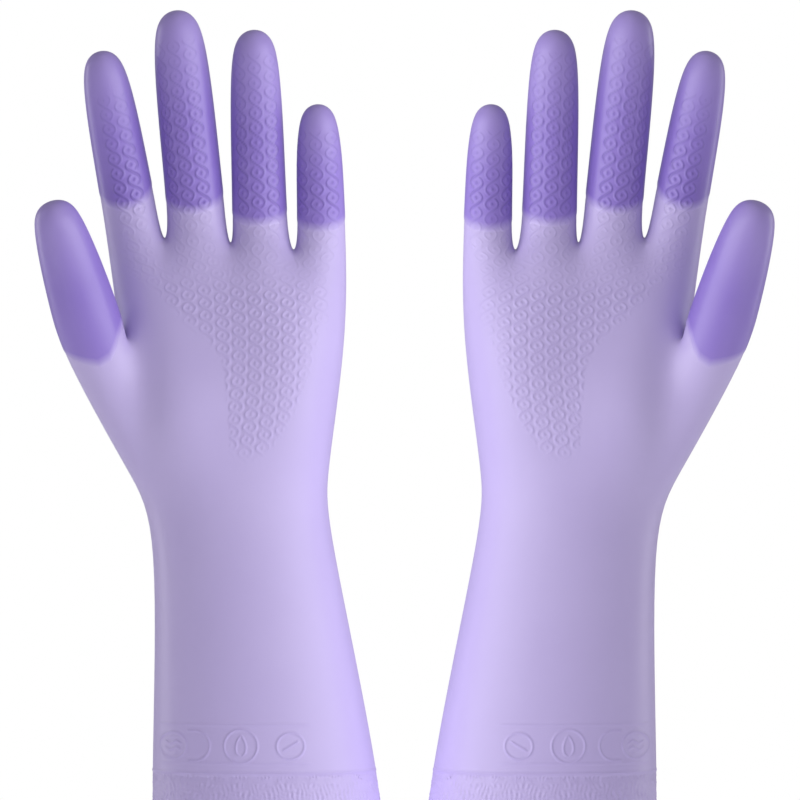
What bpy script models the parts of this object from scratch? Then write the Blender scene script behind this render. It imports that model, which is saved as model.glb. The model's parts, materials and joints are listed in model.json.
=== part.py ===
"""A pair of two-tone household rubber gloves, hand size small, standing on their cuffs.

Each glove is one dip-moulded lavender skin. The five finger ends have a second, violet dip on top of
it. The skin is divided where it flexes, at the wrist and at each finger, so that a short fold band
stands between two stiffer lengths. The gloves stand with the fingers up (+Z) and the palms to the
front (-Y). The left glove has its thumb on -X, and the right glove is its mirror image.
"""

import math

import bmesh
import bpy
import numpy
from mathutils import Vector

MM = 0.001  # every size below is in millimetres

# Lengths along the glove, from the hem up.
CUFF_LENGTH = 144.0  # hem to the wrist crease
PALM_LENGTH = 90.0  # wrist crease to the fork of the index and middle fingers
WRIST_FOLD = 24.0  # height of the band that bends at the wrist
FOLD_LENGTH = 16.0  # length of the band that bends on each finger
BEAD_HEIGHT = 3.0  # height of the thick bead at the hem
BEAD_SHOULDER = 0.8  # height over which the bead thins to the skin

# Outlines across the glove, as the two edges and the depth from back to palm side.
HEM_EDGES = (-40.2, 40.2)  # thumb side, little finger side
HEM_DEPTH = 66.0
WRIST_EDGES = (-38.4, 17.6)
WRIST_DEPTH = 43.0
KNUCKLE_DEPTH = 25.0
LITTLE_EDGE = 24.3  # outer edge of the little finger at the knuckles

# Rubber.
WALL = 0.45  # skin thickness
BEAD_WALL = 1.8  # skin thickness at the hem's bead
DIP_WALL = 0.25  # thickness of the violet second dip
DIP_CLEARANCE = 0.1  # between the skin and the second dip, which are bonded on the real glove
SPLIT = 0.3  # between two lengths of skin that meet at a fold

PAIR_GAP = 6.0  # between the two hems

# Each finger: free length from fork to tip, width at the root and near the tip, how far the tip leans
# towards the thumb side and curls to the palm side, how far its fork stands above the middle finger's,
# and how far above the fork the dip starts.
FORK_GAPS = (1.9, 1.0, 2.7)  # clear width between neighbouring fingers at the root, index to little
FINGERS = {
    "index": dict(length=63.0, width=18.5, tip_width=17.0, lean=11.3, curl=8.0, fork=0.0, dip=10.5),
    "middle": dict(length=76.5, width=19.9, tip_width=19.1, lean=7.4, curl=9.5, fork=0.0, dip=9.0),
    "ring": dict(length=71.5, width=18.8, tip_width=17.5, lean=2.1, curl=9.0, fork=-1.5, dip=6.0),
    "little": dict(length=49.5, width=16.5, tip_width=15.2, lean=1.5, curl=6.0, fork=-4.0, dip=6.5),
}
FORK_SINK = 3.0  # how far the cage of the forks lies under the forks
FORK_PINCH = 0.72  # depth of the hand at the forks, as a share of its depth at the fingers
FINGER_SIZES = list(FINGERS.values())
FINGER_DEPTH = 0.93  # a finger's depth as a share of its width
CURL_BOW = 0.10  # how far a finger's middle stands back from the line root to tip, per length

# The thumb: width at the root and near the tip, how far its root stands outside the wrist's edge, in
# front of the middle, and up the palm as a share of it; how far the tip leans, curls and rises from the
# root; and how far above the root the dip starts, past half the thumb's width.
THUMB = dict(
    width=22.8, tip_width=19.2, out=15.8, front=12.5, up=0.378, lean=18.2, curl=14.0, rise=61.5, clear=2.6
)

# Soft forms of the palm side: place across (0 thumb side, 1 little finger side), place up the palm
# (0 wrist, 1 knuckles), size as a share of the palm, and height above the plain oval.
PALM_FORMS = (
    (0.22, 0.32, 0.26, 8.0),  # ball of the thumb
    (0.80, 0.38, 0.26, 3.5),  # heel under the little finger
    (0.42, 0.66, 0.20, -2.5),  # hollow of the palm
    (0.62, 0.97, 0.30, 1.5),  # pads under the fingers
)

AROUND = 18  # cage points round the cuff and palm: nine to the front and nine to the back
HALF = AROUND // 2
SIDE_COLUMN = math.cos(math.radians(10))  # the outermost column's place across, from the middle
FRONT_ANGLES = [math.radians(190 + 20 * j) for j in range(HALF)]
FINGER_ANGLES = [math.radians(210 + 60 * k) for k in range(6)]
THUMB_ANGLES = [math.radians(225 + 45 * k) for k in range(8)]

CUFF, WRIST, PALM, FOLD, SLEEVE = range(5)  # lengths of skin, as material slots of the cage


def lerp(a, b, t):
    return a + (b - a) * t


def swell(points):
    """How much larger a cage ring of this many points is than the smooth ring that it makes."""
    return 1 / (0.75 + 0.25 * math.cos(2 * math.pi / points))


def knuckle_columns():
    """X of the nine front points along the knuckles: edge, finger, fork, finger, and so on."""
    columns = [LITTLE_EDGE]
    gaps = (0.0, *FORK_GAPS, 0.0)
    for i in reversed(range(len(FINGERS))):
        stall = FINGER_SIZES[i]["width"] + (gaps[i] + gaps[i + 1]) / 2
        columns += [columns[-1] - stall / 2, columns[-1] - stall]
    return columns[::-1]


def palm_relief(across, up):
    """How far the palm side stands proud of a plain oval there."""
    total = 0.0
    for centre, height, size, amount in PALM_FORMS:
        distance = ((across - centre) ** 2 + (0.8 * (up - height)) ** 2) / size**2
        total += amount * math.exp(-distance * 2)
    return total


def tube_stations():
    """Height, thumb-side edge, little-finger-side edge and depth of each ring from hem bead to knuckles."""
    columns = knuckle_columns()
    crease = CUFF_LENGTH
    knuckle = CUFF_LENGTH + PALM_LENGTH
    fold_low, fold_high = crease - WRIST_FOLD / 2, crease + WRIST_FOLD / 2
    cuff = (  # height, and share of the way from wrist to hem on the thumb side, little side and in depth
        (BEAD_HEIGHT, 1.0, 1.0, 1.0),
        (0.45 * fold_low, 1.0, 0.74, 0.62),
        (fold_low, 0.55, 0.10, 0.08),
    )
    palm = (  # height, and share of the way from wrist to knuckles, likewise
        (fold_high, 0.46, 0.07, 0.0),
        (lerp(fold_high, knuckle, 0.28), 0.64, 0.50, 0.10),
        (lerp(fold_high, knuckle, 0.56), 0.76, 0.88, 0.34),
        (lerp(fold_high, knuckle, 0.78), 0.88, 1.00, 0.66),
        (knuckle - FORK_SINK, 1.0, 1.0, 1.0),
    )
    wrist = (*WRIST_EDGES, WRIST_DEPTH)
    stations = [(z, *map(lerp, wrist, (*HEM_EDGES, HEM_DEPTH), shares)) for z, *shares in cuff]
    knuckles = (columns[0], columns[-1], KNUCKLE_DEPTH)
    return stations + [(z, *map(lerp, wrist, knuckles, shares)) for z, *shares in palm]


def pass_through(stations):
    """Cage values whose smoothed surface runs through these stations. Both ends are kept."""
    count = len(stations)
    smoothing = numpy.eye(count)
    for i in range(1, count - 1):
        smoothing[i, i - 1 : i + 2] = (1 / 8, 6 / 8, 1 / 8)
    return numpy.linalg.solve(smoothing, numpy.array(stations))


def tube_section(height, thumb_edge, little_edge, depth):
    """One ring of the cuff or palm, with columns that go from even to those of the fingers."""
    fold_high = CUFF_LENGTH + WRIST_FOLD / 2
    up = (height - fold_high) / (CUFF_LENGTH + PALM_LENGTH - fold_high)
    share = min(1.0, max(0.0, up))
    squareness = lerp(2.1, 2.6, share)
    middle, half_width = (thumb_edge + little_edge) / 2, (little_edge - thumb_edge) / 2
    columns = knuckle_columns()
    span = columns[-1] - columns[0]
    rows = {1: [], -1: []}
    for j, angle in enumerate(FRONT_ANGLES):
        of_finger = SIDE_COLUMN * (2 * (columns[j] - columns[0]) / span - 1)
        across = lerp(math.cos(angle), of_finger, share)
        flat = (1 - abs(across) ** squareness) ** (1 / squareness)
        for side in rows:
            y = side * depth / 2 * flat * swell(AROUND)
            if side < 0 < share:
                y -= palm_relief((across + 1) / 2, share) * min(1, flat * 1.5)
            rows[side].append(Vector((middle + half_width * swell(AROUND) * across, y, height)))
    return rows[-1] + rows[1][::-1]


def fork_heights():
    """Height of each of the nine columns at the knuckles: the forks stand at the finger's own height."""
    knuckle = CUFF_LENGTH + PALM_LENGTH
    lifts = [size["fork"] for size in FINGER_SIZES]
    forks = [lifts[0], lifts[1], (lifts[1] + lifts[2]) / 2, (lifts[2] + lifts[3]) / 2, lifts[3]]
    heights = [knuckle + forks[0]]
    for lift, fork in zip(lifts, forks[1:]):
        heights += [knuckle + lift, knuckle + fork]
    return heights


def tube_sections():
    """All rings of the cuff and palm. In the last, the forks between the fingers are pinched."""
    rings = [tube_section(*values) for values in pass_through(tube_stations())]
    for j, height in enumerate(fork_heights()):
        pinch = FORK_PINCH if j in (2, 4, 6) else 1.0
        for place in (j, AROUND - 1 - j):
            rings[-1][place].z = height - FORK_SINK
            rings[-1][place].y *= pinch
    return rings


def digit_frame(direction):
    """Across and front-to-back directions of a digit that points this way."""
    across = Vector((0, 1, 0)).cross(direction).normalized()
    return across, direction.cross(across).normalized()


def digit_ring(centre, direction, width, depth, angles):
    across, back = digit_frame(direction)
    grow = swell(len(angles)) / 2
    return [
        centre + across * (math.cos(a) * width * grow) + back * (math.sin(a) * depth * grow) for a in angles
    ]


def digit_rings(root, tip, width, tip_width, dip, angles):
    """Rings of a digit from its root to its rounded end, and the pole that closes it."""
    length = (tip - root).length
    straight = (tip - root) / length
    back = digit_frame(straight)[1]
    fold_end = dip + FOLD_LENGTH
    stations = (  # distance from the root, and width there
        (dip, width),
        (fold_end, lerp(width, tip_width, 0.3)),
        (length - 0.95 * tip_width, tip_width),
        (length - 0.14 * tip_width, 0.74 * tip_width),
    )
    rings = []
    for distance, wide in stations:
        share = distance / length
        centre = root + straight * distance + back * (CURL_BOW * length * share * (1 - share))
        rings.append(digit_ring(centre, straight, wide, wide * FINGER_DEPTH, angles))
    return rings, tip + straight * 0.03 * tip_width


def finger_digits():
    """Root, tip and sizes of the four fingers, each over its own pair of knuckle columns."""
    columns, heights, gaps = knuckle_columns(), fork_heights(), (0.0, *FORK_GAPS, 0.0)
    for i, (name, size) in enumerate(FINGERS.items()):
        left = columns[2 * i] + gaps[i] / 2
        right = columns[2 * i + 2] - gaps[i + 1] / 2
        root = Vector(((left + right) / 2, 0.0, heights[2 * i + 1]))
        tip = root + Vector((-size["lean"], -size["curl"], size["length"]))
        yield name, root, tip, size


def thumb_digit():
    """Root and tip of the thumb, and how far above the root its dip starts."""
    fold_high = CUFF_LENGTH + WRIST_FOLD / 2
    height = lerp(fold_high, CUFF_LENGTH + PALM_LENGTH, THUMB["up"])
    root = Vector((WRIST_EDGES[0] - THUMB["out"], -THUMB["front"], height))
    tip = root + Vector((-THUMB["lean"], -THUMB["curl"], THUMB["rise"]))
    return root, tip, THUMB["width"] / 2 + THUMB["clear"]


class Cage:
    """The quad cage of one left glove. Its faces carry the length of skin that they belong to."""

    def __init__(self):
        self.mesh = bmesh.new()
        self.tags = []

    def ring(self, points):
        return [self.mesh.verts.new(p * MM) for p in points]

    def face(self, corners, tag):
        self.mesh.faces.new(corners).material_index = self.tag_index(tag)

    def tag_index(self, tag):
        if tag not in self.tags:
            self.tags.append(tag)
        return self.tags.index(tag)

    def join(self, lower, upper, tag, skip=()):
        """Quads between two rings, leaving out the columns in skip."""
        count = len(lower)
        for k in range(count):
            if k not in skip:
                after = (k + 1) % count
                self.face((lower[k], lower[after], upper[after], upper[k]), tag)

    def digit(self, name, root_loop, rings, pole):
        """Grows one digit from its root loop. The first ring still ends the palm's skin."""
        tags = [(PALM, None), (FOLD, name)] + [(SLEEVE, name)] * (len(rings) - 2)
        lower = root_loop
        for points, tag in zip(rings, tags):
            upper = self.ring(points)
            self.join(lower, upper, tag)
            lower = upper
        top = self.mesh.verts.new(pole * MM)
        for k in range(0, len(lower), 2):
            before, middle, after = lower[k], lower[k + 1], lower[(k + 2) % len(lower)]
            self.face((before, middle, after, top), (SLEEVE, name))


def glove_cage():
    """The whole left glove as one open surface, from the hem to the five fingertips."""
    cage = Cage()
    tube = [cage.ring(points) for points in tube_sections()]
    lengths = (CUFF, CUFF, WRIST, PALM, PALM, PALM, PALM)
    thumb_hole = {3: (0, AROUND - 1), 4: (0, AROUND - 1)}  # rows and columns that the thumb grows from
    for row, (lower, upper, length) in enumerate(zip(tube, tube[1:], lengths)):
        cage.join(lower, upper, (length, None), skip=thumb_hole.get(row, ()))
    knuckles = tube[-1]
    for i, (name, root, tip, size) in enumerate(finger_digits()):
        j = 2 * i
        front = [knuckles[j], knuckles[j + 1], knuckles[j + 2]]
        back = [knuckles[AROUND - 1 - j - 2], knuckles[AROUND - 1 - j - 1], knuckles[AROUND - 1 - j]]
        rings, pole = digit_rings(root, tip, size["width"], size["tip_width"], size["dip"], FINGER_ANGLES)
        cage.digit(name, front + back, rings, pole)
    low, middle, high = tube[3:6]
    last = AROUND - 1
    thumb_loop = [low[1], middle[1], high[1], high[0], high[last], middle[last], low[last], low[0]]
    root, tip, dip = thumb_digit()
    rings, pole = digit_rings(root, tip, THUMB["width"], THUMB["tip_width"], dip, THUMB_ANGLES)
    cage.digit("thumb", thumb_loop, rings, pole)
    loose = [v for v in cage.mesh.verts if not v.link_faces]
    bmesh.ops.delete(cage.mesh, geom=loose, context="VERTS")
    return cage


def smooth_surface(cage):
    """The cage after one step of subdivision, as triangles."""
    mesh = bpy.data.meshes.new("glove_surface")
    cage.mesh.to_mesh(mesh)
    for tag in cage.tags:
        mesh.materials.append(bpy.data.materials.new("part_%d" % len(mesh.materials)))
    holder = bpy.data.objects.new("glove_surface", mesh)
    bpy.context.collection.objects.link(holder)
    rounder = holder.modifiers.new("round", "SUBSURF")
    rounder.levels = rounder.render_levels = 1
    rounder.use_limit_surface = False
    bpy.context.view_layer.update()
    evaluated = holder.evaluated_get(bpy.context.evaluated_depsgraph_get())
    surface = bmesh.new()
    surface.from_mesh(evaluated.to_mesh())
    bpy.data.objects.remove(holder)
    add_hem(surface)
    bmesh.ops.triangulate(surface, faces=surface.faces, quad_method="FIXED")
    return surface


def add_hem(surface):
    """Two upright rows under the cuff's lower edge: the bead's shoulder, and the bead down to z = 0."""
    edge = [e for e in surface.edges if e.is_boundary]
    for drop in (BEAD_SHOULDER, BEAD_HEIGHT - BEAD_SHOULDER):
        made = bmesh.ops.extrude_edge_only(surface, edges=edge)["geom"]
        edge = [part for part in made if isinstance(part, bmesh.types.BMEdge) and part.is_boundary]
        below = [part for part in made if isinstance(part, bmesh.types.BMVert)]
        bmesh.ops.translate(surface, vec=(0, 0, -drop * MM), verts=below)
    bmesh.ops.recalc_face_normals(surface, faces=surface.faces)


def cut_patch(surface, indices, mirrored, drawn_back):
    """A copy of the faces of these lengths, drawn back this far from its cut edges."""
    patch = surface.copy()
    others = [f for f in patch.faces if f.material_index not in indices]
    bmesh.ops.delete(patch, geom=others, context="FACES")
    moves = {}
    for vert in patch.verts:
        at_hem = vert.co.z < BEAD_HEIGHT * MM / 2
        if vert.is_boundary and not at_hem:
            inner = [e.other_vert(vert).co for e in vert.link_edges if not e.is_boundary]
            inward = sum((p - vert.co for p in inner), Vector()) / len(inner)
            moves[vert] = inward.normalized() * (drawn_back * MM)
    for vert, move in moves.items():
        vert.co += move
    if mirrored:
        bmesh.ops.scale(patch, vec=(-1, 1, 1), verts=patch.verts)
        bmesh.ops.reverse_faces(patch, faces=patch.faces)
    return patch


def rubber(name, colour, roughness):
    material = bpy.data.materials.new(name)
    material.use_nodes = True
    shader = material.node_tree.nodes["Principled BSDF"]
    shader.inputs["Base Color"].default_value = colour
    shader.inputs["Roughness"].default_value = roughness
    shader.inputs["Metallic"].default_value = 0.0
    return material


def shell(name, patch, material, offset_x, thickness, outward=False):
    """One closed solid of rubber: the patch given a wall, inwards for skin and outwards for a dip."""
    mesh = bpy.data.meshes.new(name)
    patch.to_mesh(mesh)
    patch.free()
    mesh.materials.clear()
    mesh.materials.append(material)
    for polygon in mesh.polygons:
        polygon.material_index = 0
    mesh.shade_smooth()
    solid = bpy.data.objects.new(name, mesh)
    solid.location.x = offset_x
    bpy.context.collection.objects.link(solid)
    if outward:
        lift = solid.modifiers.new("clear_of_skin", "DISPLACE")
        lift.direction = "NORMAL"
        lift.mid_level = 0.0
        lift.strength = DIP_CLEARANCE * MM
    wall = solid.modifiers.new("wall", "SOLIDIFY")
    wall.thickness = thickness * MM
    wall.offset = 1.0 if outward else -1.0
    return solid


def bead_weights(solid):
    """Thickens the wall into a bead along the hem."""
    group = solid.vertex_groups.new(name="bead")
    for vert in solid.data.vertices:
        at_bead = vert.co.z < (BEAD_HEIGHT - BEAD_SHOULDER / 2) * MM
        group.add([vert.index], 1.0 if at_bead else WALL / BEAD_WALL, "REPLACE")
    wall = solid.modifiers["wall"]
    wall.thickness = BEAD_WALL * MM
    wall.vertex_group = group.name
    wall.thickness_vertex_group = 0.0


def build_glove(side, mirrored, cage, surface):
    """All the solids of one glove."""
    lavender = rubber(side + "_lavender_rubber", (0.58, 0.50, 0.83, 1.0), 0.45)
    violet = rubber(side + "_violet_rubber", (0.29, 0.20, 0.62, 1.0), 0.40)
    place = (HEM_EDGES[1] + PAIR_GAP / 2) * MM * (1 if mirrored else -1)

    def indices(kind, digit=None):
        return [k for k, tag in enumerate(cage.tags) if tag == (kind, digit)]

    def skin(name, kind, digit=None):
        patch = cut_patch(surface, indices(kind, digit), mirrored, SPLIT / 2)
        return shell(f"{side}_{name}", patch, lavender, place, WALL)

    def dip(name, kind, digit):
        patch = cut_patch(surface, indices(kind, digit), mirrored, SPLIT / 2 + DIP_WALL)
        return shell(f"{side}_{name}", patch, violet, place, DIP_WALL, outward=True)

    bead_weights(skin("cuff", CUFF))
    skin("wrist_fold", WRIST)
    skin("palm", PALM)
    for digit in ("thumb", *FINGERS):
        skin(digit + "_fold", FOLD, digit)
        skin(digit + "_sleeve", SLEEVE, digit)
        dip(digit + "_dip_skirt", FOLD, digit)
        dip(digit + "_dip", SLEEVE, digit)


def main():
    for old in list(bpy.data.objects):
        bpy.data.objects.remove(old)
    cage = glove_cage()
    surface = smooth_surface(cage)
    build_glove("left", False, cage, surface)
    build_glove("right", True, cage, surface)


main()
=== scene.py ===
import json
import math

import bmesh
import bpy
import numpy as np
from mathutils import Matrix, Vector
from mathutils.bvhtree import BVHTree

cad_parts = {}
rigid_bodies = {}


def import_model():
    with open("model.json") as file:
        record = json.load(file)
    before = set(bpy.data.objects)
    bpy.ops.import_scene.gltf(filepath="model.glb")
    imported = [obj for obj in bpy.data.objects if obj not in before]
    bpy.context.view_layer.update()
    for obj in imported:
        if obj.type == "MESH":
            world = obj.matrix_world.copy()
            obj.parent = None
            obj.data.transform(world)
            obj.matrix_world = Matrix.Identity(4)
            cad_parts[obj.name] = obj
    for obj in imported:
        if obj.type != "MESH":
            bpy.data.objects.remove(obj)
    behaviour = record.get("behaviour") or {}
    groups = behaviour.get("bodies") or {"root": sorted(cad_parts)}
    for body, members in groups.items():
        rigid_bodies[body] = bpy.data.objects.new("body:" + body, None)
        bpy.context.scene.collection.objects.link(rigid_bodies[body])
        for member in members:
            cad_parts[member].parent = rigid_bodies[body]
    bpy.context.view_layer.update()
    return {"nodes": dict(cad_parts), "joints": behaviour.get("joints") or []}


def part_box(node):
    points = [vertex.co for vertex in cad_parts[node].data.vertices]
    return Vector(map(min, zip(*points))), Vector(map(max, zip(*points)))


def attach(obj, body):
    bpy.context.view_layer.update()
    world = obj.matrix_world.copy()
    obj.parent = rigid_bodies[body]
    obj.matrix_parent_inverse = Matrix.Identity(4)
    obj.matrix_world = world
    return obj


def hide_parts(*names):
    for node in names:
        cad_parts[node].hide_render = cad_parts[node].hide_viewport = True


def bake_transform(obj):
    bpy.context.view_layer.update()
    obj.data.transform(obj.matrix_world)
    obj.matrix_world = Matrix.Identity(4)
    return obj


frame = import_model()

# ---------------------------------------------------------------------------------------------
# Camera, floor and lights. A long lens looks straight at the palms from the front, against a
# plain white studio. The gloves are lit as a mirrored pair: each is brighter towards the other.
# ---------------------------------------------------------------------------------------------
MM = 0.001
VIEW_HEIGHT = 0.1812
VIEW_WIDTH = 0.264
VIEW_DISTANCE = 2.2
SENSOR = 36.0

lens = bpy.data.cameras.new("camera")
lens.sensor_width = SENSOR
lens.lens = SENSOR * VIEW_DISTANCE / VIEW_WIDTH
camera = bpy.data.objects.new("camera", lens)
camera.location = (-0.0015, -VIEW_DISTANCE, VIEW_HEIGHT)
camera.rotation_euler = (math.radians(90), 0, 0)
bpy.context.collection.objects.link(camera)
bpy.context.scene.camera = camera
bpy.context.scene.view_settings.view_transform = "Standard"


class Value:
    """A shader value. An expression on it adds Math nodes."""

    def __init__(self, finish, socket):
        self.finish = finish
        self.socket = socket

    def math(self, operation, *others):
        return self.finish.node("ShaderNodeMath", {"operation": operation}, self, *others)

    def __add__(self, other):
        return self.math("ADD", other)

    def __sub__(self, other):
        return self.math("SUBTRACT", other)

    def __rsub__(self, other):
        return self.math("MULTIPLY", -1.0) + other

    def __mul__(self, other):
        return self.math("MULTIPLY", other)

    def clamped(self):
        return self.finish.node("ShaderNodeClamp", {}, self)

    __radd__ = __add__
    __rmul__ = __mul__


class Finish:
    """The material of one piece, or the world. node() adds a node and gives its first output."""

    def __init__(self, owner):
        owner.use_nodes = True
        self.owner = owner
        self.tree = owner.node_tree
        self.tree.nodes.clear()

    def add(self, kind, settings, *values, **named):
        made = self.tree.nodes.new(kind)
        for name, setting in settings.items():
            setattr(made, name, setting)
        for place, value in [*enumerate(values), *((k.replace("_", " "), v) for k, v in named.items())]:
            socket = made.inputs[place]
            if isinstance(value, Value):
                self.tree.links.new(value.socket, socket)
            else:
                socket.default_value = value
        return made

    def node(self, kind, settings, *values, output=0, **named):
        return Value(self, self.add(kind, settings, *values, **named).outputs[output])

    def mix(self, factor, first, second):
        made = self.add("ShaderNodeMix", {"data_type": "RGBA"}, factor)
        for place, value in ((6, first), (7, second)):
            if isinstance(value, Value):
                self.tree.links.new(value.socket, made.inputs[place])
            else:
                made.inputs[place].default_value = value
        return Value(self, made.outputs[2])


studio = Finish(bpy.data.worlds.new("studio"))
bpy.context.scene.world = studio.owner
seen = studio.node("ShaderNodeLightPath", {})
backdrop = studio.node("ShaderNodeBackground", {}, (1, 1, 1, 1), 1.0)
fill = studio.node("ShaderNodeBackground", {}, (1, 1, 1, 1), 0.33)
shown = studio.node("ShaderNodeMixShader", {}, seen, fill, backdrop)
studio.add("ShaderNodeOutputWorld", {}, shown)

# Each glove has its own bank of soft lights: degrees from the front, towards the other glove where
# positive, and watts. The banks are each other's mirror image, and each lights only its own glove.
BANK = ((15, 0.3), (35, 1.25), (55, 1.75), (75, 1.9), (107, 0.7), (-110, 1.5))
BANK_RADIUS = 0.9
GLOVE_PLACE = 0.06  # from the middle of the pair to the middle of each glove
ROOM = (("front", (0, -1.6, 0.3), 0.8, 0.8, 0.15), ("top", (0, -0.4, 1.1), 0.8, 0.5, 0.4))
lit = {side: bpy.data.collections.new(side + "_lit") for side in ("left", "right")}


def soft_light(name, place, aim, width, height, watts):
    lamp = bpy.data.lights.new(name, "AREA")
    lamp.shape = "RECTANGLE"
    lamp.size = width
    lamp.size_y = height
    lamp.energy = watts
    holder = bpy.data.objects.new(name, lamp)
    holder.location = place
    holder.rotation_euler = (Vector(aim) - Vector(place)).to_track_quat("-Z", "Y").to_euler()
    holder.visible_camera = False
    bpy.context.collection.objects.link(holder)
    return holder


for side, sign in (("left", 1), ("right", -1)):
    for degrees, watts in BANK:
        turn = math.radians(degrees)
        away, forward = BANK_RADIUS * math.sin(turn) - GLOVE_PLACE, BANK_RADIUS * math.cos(turn)
        aim = (-sign * GLOVE_PLACE, 0, 0.17)
        box = soft_light(f"{side}_{degrees}", (sign * away, -forward, 0.25), aim, 0.3, 0.6, watts)
        box.light_linking.receiver_collection = lit[side]
        box.light_linking.blocker_collection = lit[side]
for name, place, width, height, watts in ROOM:
    soft_light(name, place, (0, 0, 0.17), width, height, watts)

bpy.ops.object.select_all(action="DESELECT")
bpy.ops.mesh.primitive_plane_add(size=1.4, location=(0, 0, 0))
floor = bpy.context.object
floor.name = "floor"
bpy.ops.object.transform_apply(location=True, rotation=True, scale=True)
ground = Finish(bpy.data.materials.new("studio_floor"))
grain = ground.node("ShaderNodeTexNoise", {}, Scale=30.0, Detail=2.0)
pale = ground.mix(grain, (0.86, 0.86, 0.87, 1), (0.9, 0.9, 0.9, 1))
paper = ground.node("ShaderNodeBsdfPrincipled", {}, Base_Color=pale, Roughness=0.8)
ground.add("ShaderNodeOutputMaterial", {}, paper)
floor.data.materials.append(ground.owner)
for pieces in lit.values():
    pieces.objects.link(floor)

# ---------------------------------------------------------------------------------------------
# The form. Each glove's skin was one dip on one former, so the outer walls of the left glove's
# lengths are joined again into one open surface. It is worked smooth, then given the former's
# relief, and the pieces of both gloves are taken from it.
# ---------------------------------------------------------------------------------------------
FINGERS = ("index", "middle", "ring", "little")
DIGITS = ("thumb", *FINGERS)
REGIONS = {  # which lengths of skin belong to the hand, and which to each digit
    "hand": ("cuff", "wrist_fold", "palm"),
    **{digit: (f"{digit}_fold", f"{digit}_sleeve") for digit in DIGITS},
}
WALL = 0.45 * MM  # thickness of the skin
HEM = 5.0 * MM  # height up to which the cuff's bead is made by itself


def selected(*things):
    """Leaves only these selected, with the last one active."""
    bpy.ops.object.select_all(action="DESELECT")
    for thing in things:
        thing.select_set(True)
    bpy.context.view_layer.objects.active = things[-1]


def edit(operator, **settings):
    """One operator on all of the active mesh."""
    bpy.ops.object.mode_set(mode="EDIT")
    bpy.ops.mesh.select_all(action="SELECT")
    operator(**settings)
    bpy.ops.object.mode_set(mode="OBJECT")


def finish_modifier(piece, kind, **settings):
    """Adds a modifier and applies it."""
    made = piece.modifiers.new(kind, kind)
    for name, setting in settings.items():
        setattr(made, name, setting)
    selected(piece)
    bpy.ops.object.modifier_apply(modifier=made.name)


def keep_faces(piece, kept):
    """Deletes the faces for which kept is false, and the points that they leave loose."""
    mesh = bmesh.new()
    mesh.from_mesh(piece.data)
    dropped = [face for face, keep in zip(mesh.faces, kept) if not keep]
    bmesh.ops.delete(mesh, geom=dropped, context="FACES")
    mesh.to_mesh(piece.data)
    mesh.free()


def points_of(piece, attribute="co"):
    values = np.empty(len(piece.data.vertices) * 3)
    piece.data.vertices.foreach_get(attribute, values)
    return values.reshape(-1, 3)


def outer_wall(piece, cap):
    """For each face, whether it is on the outer wall: with skin behind it and open air before it. The
    cap closes the cuff's mouth, so that nothing inside it counts as open."""
    points = [v.co.copy() for v in piece.data.vertices] + cap
    faces = [tuple(p.vertices) for p in piece.data.polygons]
    faces.append(tuple(range(len(points) - len(cap), len(points))))
    wall = BVHTree.FromPolygons(points, faces)
    views = []
    for i in range(32):
        rise = (i + 0.5) / 32
        spread = math.sqrt(1 - rise * rise)
        turn = i * 2.39996
        views.append(Vector((spread * math.cos(turn), spread * math.sin(turn), rise)))
    kept = []
    for face in piece.data.polygons:
        turned = face.normal.to_track_quat("Z", "Y")
        start = face.center + face.normal * 2e-5
        clear = sum(wall.ray_cast(start, turned @ view, 1.0)[0] is None for view in views)
        behind = wall.ray_cast(face.center - face.normal * 2e-5, -face.normal, 6 * WALL)
        backed = behind[0] is not None and behind[1].dot(face.normal) < -0.7
        kept.append(clear >= 2 and backed and face.center.z > HEM)
    return kept


lengths = []
for region, (label, names) in enumerate(REGIONS.items()):
    mark = bpy.data.materials.new(label)
    for name in names:
        length = bpy.data.objects.new(name, frame["nodes"]["left_" + name].data.copy())
        length.data.materials.clear()
        length.data.materials.append(mark)
        bpy.context.collection.objects.link(length)
        lengths.append(length)
selected(*lengths)
bpy.ops.object.join()
form = bpy.context.object
form.name = "form"
edit(bpy.ops.mesh.remove_doubles, threshold=1e-6)
low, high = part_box("left_cuff")
middle = (low + high) / 2
reach = (high - low) / 2
mouth = [
    Vector((middle.x + reach.x * math.cos(turn), middle.y + reach.y * math.sin(turn), 0))
    for turn in (i * math.pi / 12 for i in range(24))
]
keep_faces(form, outer_wall(form, mouth))
edit(bpy.ops.mesh.remove_doubles, threshold=4e-4)
mended = bmesh.new()
mended.from_mesh(form.data)
stray = [face for face in mended.faces if all(edge.is_boundary for edge in face.edges)]
bmesh.ops.delete(mended, geom=stray, context="FACES")
bmesh.ops.holes_fill(mended, edges=mended.edges, sides=9)
mended.to_mesh(form.data)
mended.free()
edit(
    bpy.ops.mesh.tris_convert_to_quads, face_threshold=math.pi, shape_threshold=math.pi,
    topology_influence=1.0, materials=True,
)
edit(bpy.ops.mesh.normals_make_consistent, inside=False)
bpy.ops.object.shade_smooth()

# Where each digit is, from its joint and its length of skin, in metres.
digits = {}
for digit in DIGITS:
    joint = next(j for j in frame["joints"] if j["name"] == f"left_{digit}_bend")
    bend = np.array(joint["pos_m"])
    film = np.array([v.co for v in frame["nodes"][f"left_{digit}_dip"].data.vertices])
    tip = film[np.argmax(np.linalg.norm(film - bend, axis=1))]
    reach_out = np.linalg.norm(tip - bend)
    along = (tip - bend) / reach_out
    across = np.cross((0, 1, 0), along)
    across /= np.linalg.norm(across)
    fold = np.array([v.co for v in frame["nodes"][f"left_{digit}_fold"].data.vertices])
    starts, ends = np.percentile((fold - bend) @ along, (0.5, 99.5))
    digits[digit] = {
        "bend": bend, "along": along, "across": across, "back": np.cross(along, across),
        "start": starts, "end": ends, "tip": reach_out,
    }


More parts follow.
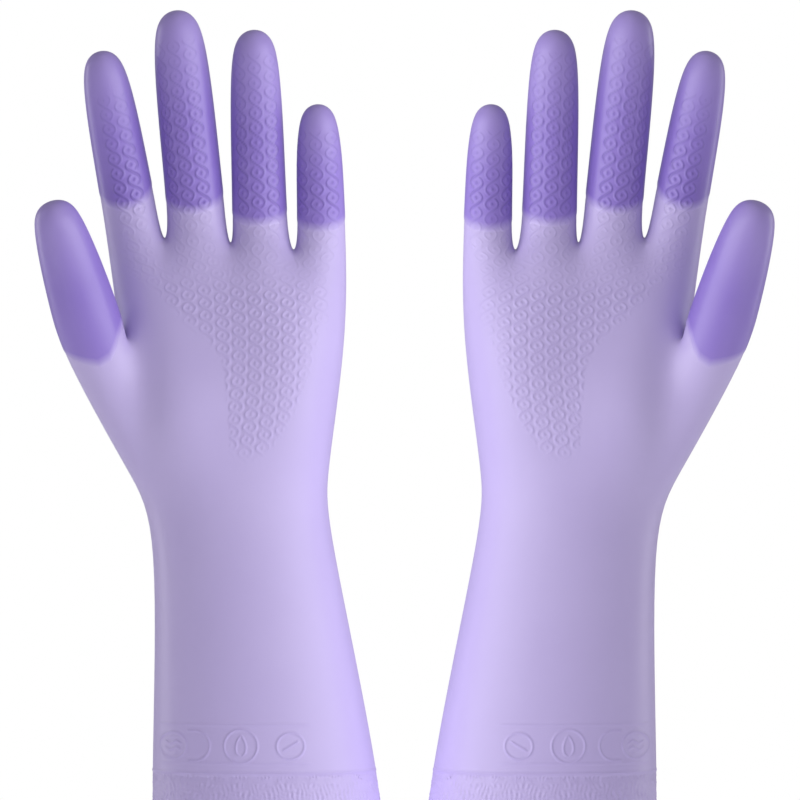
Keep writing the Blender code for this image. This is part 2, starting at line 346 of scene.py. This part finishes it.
def digit_place(points, digit):
    """Of each point: how far past the start of the digit's film, its turn round the digit from the
    palm side towards the little finger, and its distance from the axis, in metres."""
    axis = digits[digit]
    past = points - axis["bend"]
    sideways, behind = past @ axis["across"], past @ axis["back"]
    return past @ axis["along"] - axis["start"], np.arctan2(sideways, -behind), np.hypot(sideways, behind)


def smooth_step(values, low, high):
    share = np.clip((values - low) / (high - low), 0, 1)
    return share * share * (3 - 2 * share)


# The lattice on the palm side: columns of eyes, each drawn by strands that swing from side to side.
# Every strand passes over the one below it, so a crossing shows only one of them. There are three
# columns to a finger, and they run on down the palm, closer together there.
FINGER_COLUMN = 5.2 * MM  # between two columns
PALM_COLUMN = 5.4 * MM
FINGER_EYE = 4.9 * MM  # between two eyes of a column
PALM_EYE = 4.15 * MM
EYE_REACH = 2.05 * MM  # how far a strand swings
STRAND = 0.27 * MM  # half width of a strand
STAGGER = 0.4  # of an eye, that each column stands higher than the last
PALM_SHIFT = 0.22  # of an eye, from the roots of the fingers to the first eye below them
EYE_SHIFT = {"index": -0.44, "middle": 0.22, "ring": -0.12, "little": -0.46}  # the same at each fingertip
FINGER_RADIUS = 9.2 * MM
FIRST_EYE = {"index": 14.0, "middle": 9.0, "ring": 7.0, "little": 8.0}  # below each fingertip, in mm
MIDDLE_COLUMN = {"index": -1.5, "middle": -1.8, "ring": 0.0, "little": -0.9}  # from the axis, in mm
WEB_TOP, WEB_FOOT = 236 * MM, 218 * MM  # where the fingers' columns become the palm's
FINGER_ROOTS = 227 * MM  # from where the palm's eyes are counted down
FIRST_COLUMN = -28 * MM  # of the middle finger, from the middle of the glove
BOW = 2.8 * MM  # that the palm's columns bend sideways
BOW_SHIFT = 1.2 * MM
BOW_MIDDLE, BOW_REACH = 200 * MM, 32 * MM
HALF_FIELD = 1.5  # columns from a finger's middle one to the edge of its lattice
FADE_IN = 30  # mm over which the lattice gains its full height below its first eye
COLUMN_ENDS = np.array((222, 218, 212, 206, 202, 193, 165.5, 162.5, 163, 170, 184, 206)) * MM
glove_middle = middle.x


def lattice_place(points):
    """Of each point: its place across in columns (0 is the middle finger's first), its place down in
    eyes, and how strongly the lattice shows there."""
    x, z = points[:, 0] - glove_middle, points[:, 2]
    bow = BOW_SHIFT - BOW * ((z - BOW_MIDDLE) / BOW_REACH) ** 2
    on_palm = (x - FIRST_COLUMN - bow) / PALM_COLUMN
    beside = [np.abs((points - digits[f]["bend"]) @ digits[f]["across"]) for f in FINGERS]
    under = np.clip((np.round(on_palm) + 3) // 3, 0, 3)
    nearest = np.where(z > FINGER_ROOTS, np.argmin(beside, axis=0), under)
    share = smooth_step(z, WEB_FOOT, WEB_TOP)
    over, down, strength = on_palm.copy(), np.zeros(len(z)), np.zeros(len(z))
    ends = np.interp(on_palm, np.arange(-3, 9), COLUMN_ENDS)
    for i, finger in enumerate(FINGERS):
        axis = digits[finger]
        mine = nearest == i
        past = points[mine] - axis["bend"]
        sideways, rise = past @ axis["across"], past @ axis["along"]
        round_it = FINGER_RADIUS * np.arcsin(np.clip(sideways / FINGER_RADIUS, -0.995, 0.995))
        on_finger = 3 * i - 2 + (round_it - MIDDLE_COLUMN[finger] * MM) / FINGER_COLUMN
        from_tip = axis["tip"] - rise
        crossing = (FINGER_ROOTS - axis["bend"][2]) / axis["along"][2]
        finger_down = from_tip / FINGER_EYE + EYE_SHIFT[finger]
        whole = round((axis["tip"] - crossing) / FINGER_EYE + EYE_SHIFT[finger] - PALM_SHIFT)
        palm_down = whole + PALM_SHIFT + (FINGER_ROOTS - z[mine]) / PALM_EYE
        over[mine] += share[mine] * (on_finger - on_palm[mine])
        down[mine] = palm_down + share[mine] * (finger_down - palm_down)
        from_middle = on_finger - (3 * i - 2)
        outer = 0.5 if finger == "index" else HALF_FIELD  # the index has no column on its outer side
        inside = 1 - smooth_step(from_middle, HALF_FIELD - 0.04, HALF_FIELD + 0.06)
        inside *= smooth_step(from_middle, -outer - 0.06, -outer + 0.04)
        inside = 1 + share[mine] * (inside - 1)
        below = from_tip - FIRST_EYE[finger] * MM
        gained = 0.3 + 0.7 * smooth_step(below, 0, FADE_IN * MM)
        strength[mine] = inside * smooth_step(below, 0, 1.5 * MM) * gained
    edge = smooth_step(over, -3.6, -3.4) * (1 - smooth_step(over, 8.4, 8.6))
    strength *= edge * smooth_step(z, ends - 3 * MM, ends + 4 * MM)
    root = smooth_step(z, 214 * MM, 222 * MM) * (1 - smooth_step(z, 240 * MM, 246 * MM))
    strength *= (1 - 0.6 * root) * (1 - 0.5 * smooth_step(over, 6.4, 7.4) * (1 - share))
    return over, down, strength


def lattice(over, down):
    """Height of the lattice, from 0 to 1."""
    column = np.round(over)
    sideways = (over - column) * FINGER_COLUMN
    turn = (down + STAGGER * column) % 1.0
    swing = EYE_REACH * np.cos(math.pi * turn)
    slope = EYE_REACH * math.pi / FINGER_EYE * np.sin(math.pi * turn)
    steep = np.sqrt(1 + slope * slope)
    upper = np.exp(-(((sideways + swing) / steep / STRAND) ** 2))
    lower = np.exp(-(((sideways - swing) / steep / STRAND) ** 2))
    lower *= 0.75 * smooth_step(np.abs(turn - 0.5), 0.10, 0.16)
    eye = np.hypot(sideways, np.where(turn < 0.5, turn, turn - 1) * FINGER_EYE)
    pupil = 0.9 * np.exp(-((eye / (0.45 * MM)) ** 2))
    return np.maximum.reduce((upper, lower, pupil))


# Where the film of violet latex starts on each digit. The dips ran down a little towards the palm side.
FILM = 0.25 * MM
FILM_REACH = 18.0 * MM  # farthest that a film gets from a digit's axis
BELOW_FOLD = 9.0 * MM  # how far past a fold's start the hand's own skin can still carry film
FILM_FADE = 3.5 * MM  # from the film's edge to its full colour
FILM_RISE = {"index": 6.0, "middle": 4.5, "ring": 3.5, "little": 3.0}  # of the edge at a finger's sides
THUMB_EDGE = (  # turns round the thumb in degrees, and where the edge is there in mm
    (-180, -90, -56, 0, 22, 38, 50, 75, 180),
    (5, 5, 2.5, -1.5, -0.5, 2.3, 5.0, 8, 5),
)


def film_edge(digit, turn):
    """How far past the start of the fold the film starts, in metres, for each turn round the digit."""
    if digit == "thumb":
        return np.interp(np.degrees(turn), *THUMB_EDGE) * MM
    return FILM_RISE[digit] * np.minimum(1, 1 - np.cos(turn)) * MM


# The worked surface: smooth all over, and finely divided only where the relief and the marks are.
CUFF_LINE = 59.4 * MM  # height of the raised line round the cuff
MARK_TOP = 77.0 * MM
BEAD_TOP = 3.4 * MM  # where the hem's bead starts
CUFF_ROW = 1.9 * MM  # between the rows that the tall faces of the cuff are cut into
finish_modifier(form, "SUBSURF", levels=2, render_levels=2)
smooth = form.copy()
smooth.data = form.data.copy()
smooth.name = "smooth"
bpy.context.collection.objects.link(smooth)
finish_modifier(smooth, "SUBSURF", levels=2, render_levels=2)
selected(form)
edit(bpy.ops.mesh.bisect, plane_co=(0, 0, CUFF_LINE), plane_no=(0, 0, 1))
level = MARK_TOP
while level > HEM:
    if abs(level - CUFF_LINE) > 0.3 * CUFF_ROW:
        edit(bpy.ops.mesh.bisect, plane_co=(0, 0, level), plane_no=(0, 0, 1))
    level -= CUFF_ROW
edit(bpy.ops.mesh.bisect, plane_co=(0, 0, BEAD_TOP), plane_no=(0, 0, 1), clear_inner=True)
lining = form.copy()
lining.data = form.data.copy()
lining.name = "lining"
bpy.context.collection.objects.link(lining)


def face_values(piece, attribute, width):
    values = np.empty(len(piece.data.polygons) * width)
    piece.data.polygons.foreach_get(attribute, values)
    return values.reshape(-1, width) if width > 1 else values


def divide(piece, chosen, cuts):
    """Divides the chosen faces of the mesh."""
    bpy.ops.object.mode_set(mode="EDIT")
    bpy.ops.mesh.select_mode(type="FACE")
    bpy.ops.mesh.select_all(action="DESELECT")
    bpy.ops.object.mode_set(mode="OBJECT")
    piece.data.polygons.foreach_set("select", chosen)
    bpy.ops.object.mode_set(mode="EDIT")
    bpy.ops.mesh.subdivide(number_cuts=cuts)
    bpy.ops.object.mode_set(mode="OBJECT")


selected(form)


def relief_on(centres, facing):
    """Whether the lattice reaches each face, or comes near it."""
    wanted = np.zeros(len(centres))
    for shift in ((0, 0, 1), (0, 0, -1.5), (-1.5, 0, 0), (1.5, 0, 0)):
        wanted += lattice_place(centres + np.array(shift) * MM)[2]
    return (wanted > 0.2) & (facing[:, 1] < 0.0)


centres, facing = face_values(form, "center", 3), face_values(form, "normal", 3)
relief_zone = relief_on(centres, facing)
mark_zone = (centres[:, 2] > CUFF_LINE) & (centres[:, 2] < MARK_TOP) & (facing[:, 1] < -0.45)
mark_zone |= np.abs(centres[:, 2] - CUFF_LINE) < CUFF_ROW
edge_zone = np.zeros(len(centres), bool)
for digit in DIGITS:
    past, turn, away = digit_place(centres, digit)
    edge_zone |= (np.abs(past - film_edge(digit, turn)) < 3 * MM) & (away < FILM_REACH)
divide(form, relief_zone & (centres[:, 2] > WEB_TOP) | mark_zone | edge_zone, 5)
centres, facing = face_values(form, "center", 3), face_values(form, "normal", 3)
areas = face_values(form, "area", 1)
divide(form, relief_on(centres, facing) & (areas > 0.5 * MM**2), 4)
centres = face_values(form, "center", 3)
areas = face_values(form, "area", 1)
divide(form, (centres[:, 2] < CUFF_LINE) & (areas > 0.5 * MM**2), 3)
centres, areas = face_values(form, "center", 3), face_values(form, "area", 1)
on_digit = face_values(form, "material_index", 1) != form.data.materials.find("hand")
divide(form, on_digit & (areas > 1.0 * MM**2), 2)
finish_modifier(form, "SHRINKWRAP", target=smooth, wrap_method="NEAREST_SURFACEPOINT")


# The raised marks on the cuff: a line right round, and over it a ring with a drop in it, two ovals
# and an open arc, with a fine line above and one below. Each is given as a distance from its line.
LINE = 0.32 * MM  # half width of a drawn line
MARKS_HEIGHT = 68.3 * MM
RING_PLACE, LEAF_PLACE, WAVE_PLACE, ARC_PLACE = -10.1 * MM, 6.1 * MM, -32.5 * MM, -25.2 * MM
RING_RADIUS = 5.45 * MM
OVAL = (4.5, 4.25)  # half width and half height of an oval, in mm
ARC_RADIUS = 4.9 * MM
BORDERS = (-37 * MM, 12 * MM)  # where the fine lines above and below the marks run


def drawn(distance, width=LINE):
    """Height, from 0 to 1, of a line at this distance from its middle."""
    return np.exp(-((distance / width) ** 2))


def within(values, low, high, soft=0.5 * MM):
    return smooth_step(values, low - soft, low + soft) * (1 - smooth_step(values, high - soft, high + soft))


def cuff_marks(points):
    x, z = points[:, 0] - glove_middle, points[:, 2]
    rise = z - MARKS_HEIGHT
    # The ring, and the drop in it.
    sideways = x - RING_PLACE
    ring = drawn(np.hypot(sideways, rise) - RING_RADIUS)
    taper = np.clip((rise + 3.2 * MM) / (6.6 * MM), 0, 1)
    belly = 3.99 * MM * np.sqrt(taper) * (1 - taper) ** 0.8
    inside_drop = within(rise, -3.2 * MM, 3.4 * MM)
    drop = drawn(np.abs(sideways) - belly) * inside_drop
    # The two ovals, one with a leaf's rib and one with waves.
    half_width, half_height = OVAL
    right = x - LEAF_PLACE
    right_oval = drawn((np.hypot(right / half_width, rise / half_height) - MM) * 4.4)
    left = x - WAVE_PLACE
    left_oval = drawn((np.hypot(left / half_width, rise / half_height) - MM) * 4.4)
    rib = drawn((rise - 0.6 * right) * 0.86) * within(np.hypot(right, rise), -1, 2.9 * MM)
    wave = drawn((rise % (2.1 * MM)) - 1.05 * MM - 0.45 * MM * np.sin(left / (0.62 * MM)))
    wave *= within(np.hypot(left, rise), -1, 2.8 * MM)
    # The arc, open towards the thumb side, and the fine lines.
    bent = x - ARC_PLACE
    arc = drawn(np.hypot(np.clip(bent, 0, None), rise) - ARC_RADIUS) * within(x, -25.0 * MM, -18.0 * MM)
    arms = drawn(np.abs(rise) - ARC_RADIUS) * within(x, -27.6 * MM, -25.0 * MM)
    above = 0.5 * drawn(z - 75.2 * MM) * within(x, *BORDERS, 2 * MM)
    below = 0.5 * drawn(z - 62.6 * MM) * within(x, *BORDERS, 2 * MM)
    return np.maximum.reduce((ring, drop, right_oval, left_oval, rib, wave, arc, arms, above, below))


RELIEF = 0.34 * MM  # height of the lattice and the marks
GRAIN = 0.22 * MM  # height of the wrinkles on the lower cuff
CUFF_RADIUS = 32.0  # mm, by which a turn round the cuff becomes a distance

places, normals = points_of(form), points_of(form, "normal")
over, down, strength = lattice_place(places)
to_front = smooth_step(-normals[:, 1], 0.02, 0.25)
raised = lattice(over, down) * strength * to_front
marks = cuff_marks(places) * within(places[:, 2], CUFF_LINE, MARK_TOP)
marks *= smooth_step(-normals[:, 1], 0.3, 0.5)
raised = np.maximum(raised, 0.8 * marks)
raised = np.maximum(raised, 0.5 * drawn(places[:, 2] - CUFF_LINE, 0.45 * MM))


def wrinkles(points):
    """Wavy upright ridges that run into each other, from about -1 to 1."""
    x, y, z = (points / MM).T
    turn = np.arctan2(y, x - glove_middle / MM)
    round_it = turn * CUFF_RADIUS
    sway = 0.7 * np.sin(z * 1.15 + 2.4 * np.sin(round_it * 0.33))
    sway += 0.6 * np.sin(z * 0.63 + round_it * 0.71)
    ridge = np.sin(round_it * 4.3 + 2.0 * sway)
    broken = np.sin(z * 2.3 + 1.7 * np.sin(round_it * 1.13) + 1.3 * np.sin(round_it * 0.37 + 1.0))
    crossing = np.sin(round_it * 2.3 + z * 2.9 + 1.2 * sway) * np.sin(round_it * 1.3 - z * 2.1)
    return 0.6 * ridge * (0.55 + 0.45 * broken) + 0.5 * crossing


grained = 1 - smooth_step(places[:, 2], CUFF_LINE - 1.3 * MM, CUFF_LINE - 0.5 * MM)
grained *= smooth_step(places[:, 2], 4.5 * MM, 6.5 * MM)
height = RELIEF * raised + GRAIN * (wrinkles(places) - 0.6) * grained
form.data.vertices.foreach_set("co", (places + normals * height[:, None]).ravel())
form.data.update()
relief = form.data.attributes.new("relief", "FLOAT", "POINT")
relief.data.foreach_set("value", raised)

# ---------------------------------------------------------------------------------------------
# The skins. Lavender latex, 0.45 mm thick, with one seamless wall from the cuff to the fingertips.
# It is satin on the palm, and its raised lattice catches the light. The skin is parted under the
# films' edges, at the roots of the digits.
# ---------------------------------------------------------------------------------------------
LAVENDER = (0.55, 0.465, 0.8, 1)
LAVENDER_DEEP = (0.51, 0.425, 0.765, 1)
# Painted shade: the darker colour given to the lavender's raised lines, in place of their shaded flanks.
LAVENDER_RIDGE_SHADE = (0.47, 0.385, 0.74, 1)


def latex(name, colour, deep, line, roughness, coat, under=None, tip=None):
    """Dip-moulded latex: faintly cloudy, with painted shade darkening its raised lines, and a very fine
    skin texture. A film over another colour takes it on towards its thin edge, and pales to the tip."""
    finish = Finish(bpy.data.materials.new(name))
    place = finish.node("ShaderNodeTexCoord", {}, output=3)
    cloud = finish.node("ShaderNodeTexNoise", {}, place, Scale=38.0, Detail=3.0, Roughness=0.55)
    grain = finish.node("ShaderNodeTexNoise", {}, place, Scale=2600.0, Detail=2.0)
    raised = finish.node("ShaderNodeAttribute", {"attribute_name": "relief"}, output=2)
    shade = finish.mix(cloud, deep, colour)
    if under:
        inward = finish.node("ShaderNodeAttribute", {"attribute_name": "film"}, output=2)
        share = finish.node("ShaderNodeAttribute", {"attribute_name": "film_share"}, output=2)
        shade = finish.mix(((share - 0.45) * 1.6).clamped(), shade, tip)
    # Painted shade: the raised lines are darkened in colour, in place of the shade on the flanks of the
    # ridges.
    shade = finish.mix((raised * 0.6).clamped(), shade, line)
    if under:
        shade = finish.mix((inward * (1 / FILM_FADE)).clamped(), under, shade)
    bump = finish.node("ShaderNodeBump", {}, Strength=0.12, Distance=0.0001, Height=grain)
    skin = finish.add("ShaderNodeBsdfPrincipled", {}, Normal=bump, Roughness=roughness + cloud * 0.08)
    finish.tree.links.new(shade.socket, skin.inputs["Base Color"])
    skin.inputs["Coat Weight"].default_value = coat
    skin.inputs["Coat Roughness"].default_value = 0.3
    finish.add("ShaderNodeOutputMaterial", {}, Value(finish, skin.outputs[0]))
    return finish


lavender = latex("lavender_latex", LAVENDER, LAVENDER_DEEP, LAVENDER_RIDGE_SHADE, 0.42, 0.1).owner


def part_of(source, name, kept):
    """A copy of the faces of a mesh for which kept is true."""
    piece = source.copy()
    piece.data = source.data.copy()
    piece.name = name
    piece.data.name = name
    bpy.context.collection.objects.link(piece)
    keep_faces(piece, kept)
    return piece


def keep_linked(piece, place):
    """Keeps only the faces that are joined to the one nearest to a place."""
    selected(piece)
    gaps = np.linalg.norm(face_values(piece, "center", 3) - place, axis=1)
    chosen = np.zeros(len(gaps), bool)
    chosen[np.argmin(gaps)] = True
    bpy.ops.object.mode_set(mode="EDIT")
    bpy.ops.mesh.select_mode(type="FACE")
    bpy.ops.mesh.select_all(action="DESELECT")
    bpy.ops.object.mode_set(mode="OBJECT")
    piece.data.polygons.foreach_set("select", chosen)
    bpy.ops.object.mode_set(mode="EDIT")
    bpy.ops.mesh.select_linked()
    bpy.ops.mesh.select_all(action="INVERT")
    bpy.ops.mesh.delete(type="FACE")
    bpy.ops.object.mode_set(mode="OBJECT")


def coloured(piece, material):
    piece.data.materials.clear()
    piece.data.materials.append(material)
    piece.data.polygons.foreach_set("material_index", np.zeros(len(piece.data.polygons), int))
    selected(piece)
    bpy.ops.object.shade_smooth()


def lined(piece, region, lower, upper):
    """Gives a length of skin its inner wall, from the coarser copy of the form."""
    heights = face_values(lining, "center", 3)[:, 2]
    index = face_values(lining, "material_index", 1)
    inner = part_of(lining, "inner", (index == region) & (heights > lower) & (heights < upper))
    places, normals = points_of(inner), points_of(inner, "normal")
    inner.data.vertices.foreach_set("co", (places - normals * WALL).ravel())
    selected(inner)
    edit(bpy.ops.mesh.flip_normals)
    selected(inner, piece)
    bpy.ops.object.join()


def pair_up(piece, material, nodes, fasten):
    """Finishes the left glove's piece, mirrors it for the right glove and fastens both."""
    coloured(piece, material)
    other = piece.copy()
    other.data = piece.data.copy()
    other.name = piece.name.replace("left", "right")
    other.data.name = other.name
    bpy.context.collection.objects.link(other)
    selected(other)
    edit(bpy.ops.transform.resize, value=(-1, 1, 1), center_override=(0, 0, 0))
    edit(bpy.ops.mesh.flip_normals)
    for side, each in (("left", piece), ("right", other)):
        mirrored = Vector((1 if side == "left" else -1, 1, 1))
        fasten(each, side, mirrored)
        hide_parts(*(f"{side}_{node}" for node in nodes))
        lit[side].objects.link(each)


form_index = face_values(form, "material_index", 1)
form_centres, form_facing = face_values(form, "center", 3), face_values(form, "normal", 3)
region_of = {form.data.materials[i].name: i for i in range(len(form.data.materials))}
hand_region = region_of["hand"]
ABOVE_ALL = 1.0  # higher than every point of the skin, in metres

# The lower cuff, with its wrinkled grain and its thick rolled bead. The bead goes down from the outer
# wall, round under the hem and up inside it.
BEAD = (  # outwards from the wall and up from the ground, in mm
    (0.2, 2.7), (0.6, 2.2), (0.8, 1.4), (0.6, 0.5), (0.0, 0.0),
    (-0.9, 0.1), (-1.5, 1.0), (-1.2, 2.1), (-0.45, 3.5),
)


def add_bead(piece):
    """Carries the open lower edge of the band round the bead's section, one row at a time."""
    mesh = bmesh.new()
    mesh.from_mesh(piece.data)
    mesh.normal_update()
    rim = [edge for edge in mesh.edges if edge.is_boundary and edge.verts[0].co.z < BEAD_TOP + 1 * MM]
    around = {v: (v.co.copy(), v.normal.copy()) for edge in rim for v in edge.verts}
    for outward, up in BEAD:
        before = {tuple(v.co): v for v in around}
        made = bmesh.ops.extrude_edge_only(mesh, edges=rim)["geom"]
        rim = [part for part in made if isinstance(part, bmesh.types.BMEdge) and part.is_boundary]
        moved = {}
        for point in {v for edge in rim for v in edge.verts}:
            start, normal = moved[point] = around[before[tuple(point.co)]]
            flat = Vector((normal.x, normal.y, 0)).normalized()
            point.co = start + flat * outward * MM
            point.co.z = up * MM
        around = moved
    mesh.to_mesh(piece.data)
    mesh.free()


band = part_of(form, "left_hem_band", form_centres[:, 2] < CUFF_LINE)
add_bead(band)
lined(band, hand_region, 0, CUFF_LINE)


def on_cuff(piece, side, mirrored):
    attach(piece, f"{side}_cuff")


# The hand, from the raised line to the films, with the ball of the thumb and the webs.
hand = part_of(form, "left_hand", (form_centres[:, 2] > CUFF_LINE) & (form_index == hand_region))
lined(hand, hand_region, CUFF_LINE, ABOVE_ALL)
WRIST_START, WRIST_END = 132 * MM, 156 * MM


def across_wrist(piece, side, mirrored):
    level = Vector((glove_middle, 0, 0)) * mirrored
    start = level + Vector((0, 0, WRIST_START))
    level + Vector((0, 0, WRIST_END))
    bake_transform(piece)


pair_up(band, lavender, ("cuff",), on_cuff)
pair_up(hand, lavender, ("cuff", "wrist_fold", "palm"), across_wrist)


def bends_with(digit):
    """Bakes a digit's piece in place; it is fastened neither to the palm nor to the digit."""
    axis = digits[digit]
    start = Vector(axis["bend"] + axis["along"] * axis["start"])
    end = Vector(axis["bend"] + axis["along"] * (axis["end"] + 2 * MM))

    def fasten(piece, side, mirrored):
        start * mirrored
        end * mirrored
        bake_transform(piece)

    return fasten


for digit in DIGITS:
    skin = part_of(lining, f"left_{digit}_skin", face_values(lining, "material_index", 1) == region_of[digit])
    places, normals = points_of(skin), points_of(skin, "normal")
    sunk = 0.15 * MM * smooth_step(digit_place(places, digit)[0], 6 * MM, 12 * MM)
    skin.data.vertices.foreach_set("co", (places - normals * sunk[:, None]).ravel())
    lined(skin, region_of[digit], 0, ABOVE_ALL)
    pair_up(skin, lavender, (f"{digit}_sleeve", f"{digit}_fold"), bends_with(digit))

# ---------------------------------------------------------------------------------------------
# The films. A second dip of violet latex, 0.25 mm thick, bonded over each finger and the thumb. It
# ran down a little towards the palm side, and it thins out to nothing at its edge, so the lavender
# shows through there.
# ---------------------------------------------------------------------------------------------
VIOLET = (0.3, 0.205, 0.66, 1)
VIOLET_DEEP = (0.26, 0.17, 0.6, 1)
# Painted shade: the darker colour given to the violet film's raised lines, in place of their shaded flanks.
VIOLET_RIDGE_SHADE = (0.15, 0.09, 0.42, 1)
VIOLET_TIP = (0.4, 0.31, 0.7, 1)
violet = latex(
    "violet_latex", VIOLET, VIOLET_DEEP, VIOLET_RIDGE_SHADE, 0.4, 0.3, under=LAVENDER, tip=VIOLET_TIP
).owner
for digit in DIGITS:
    past, turn, away = digit_place(form_centres, digit)
    axis = digits[digit]
    from_bend = form_centres - axis["bend"]
    spoke = from_bend - np.outer(from_bend @ axis["along"], axis["along"])
    faces_out = np.sum(spoke * form_facing, axis=1) > 0.35 * away
    below_fold = (form_index == hand_region) & (past < BELOW_FOLD) & (away < FILM_REACH) & faces_out
    kept = (past > film_edge(digit, turn) - 0.4 * MM) & ((form_index == region_of[digit]) | below_fold)
    dip = part_of(form, f"left_{digit}_film", kept)
    keep_linked(dip, axis["bend"] + axis["along"] * axis["tip"])
    places, normals = points_of(dip), points_of(dip, "normal")
    past, turn, away = digit_place(places, digit)
    inward = past - film_edge(digit, turn)
    thick = FILM * smooth_step(inward, -0.3 * MM, 1.6 * MM) - 0.05 * MM
    dip.data.vertices.foreach_set("co", (places + normals * thick[:, None]).ravel())
    shares = inward / (axis["tip"] - axis["start"])
    for name, values in (("film", inward), ("film_share", shares)):
        dip.data.attributes.new(name, "FLOAT", "POINT").data.foreach_set("value", values)
    pair_up(dip, violet, (f"{digit}_dip", f"{digit}_dip_skirt"), bends_with(digit))

for spare in (form, smooth, lining):
    bpy.data.objects.remove(spare)
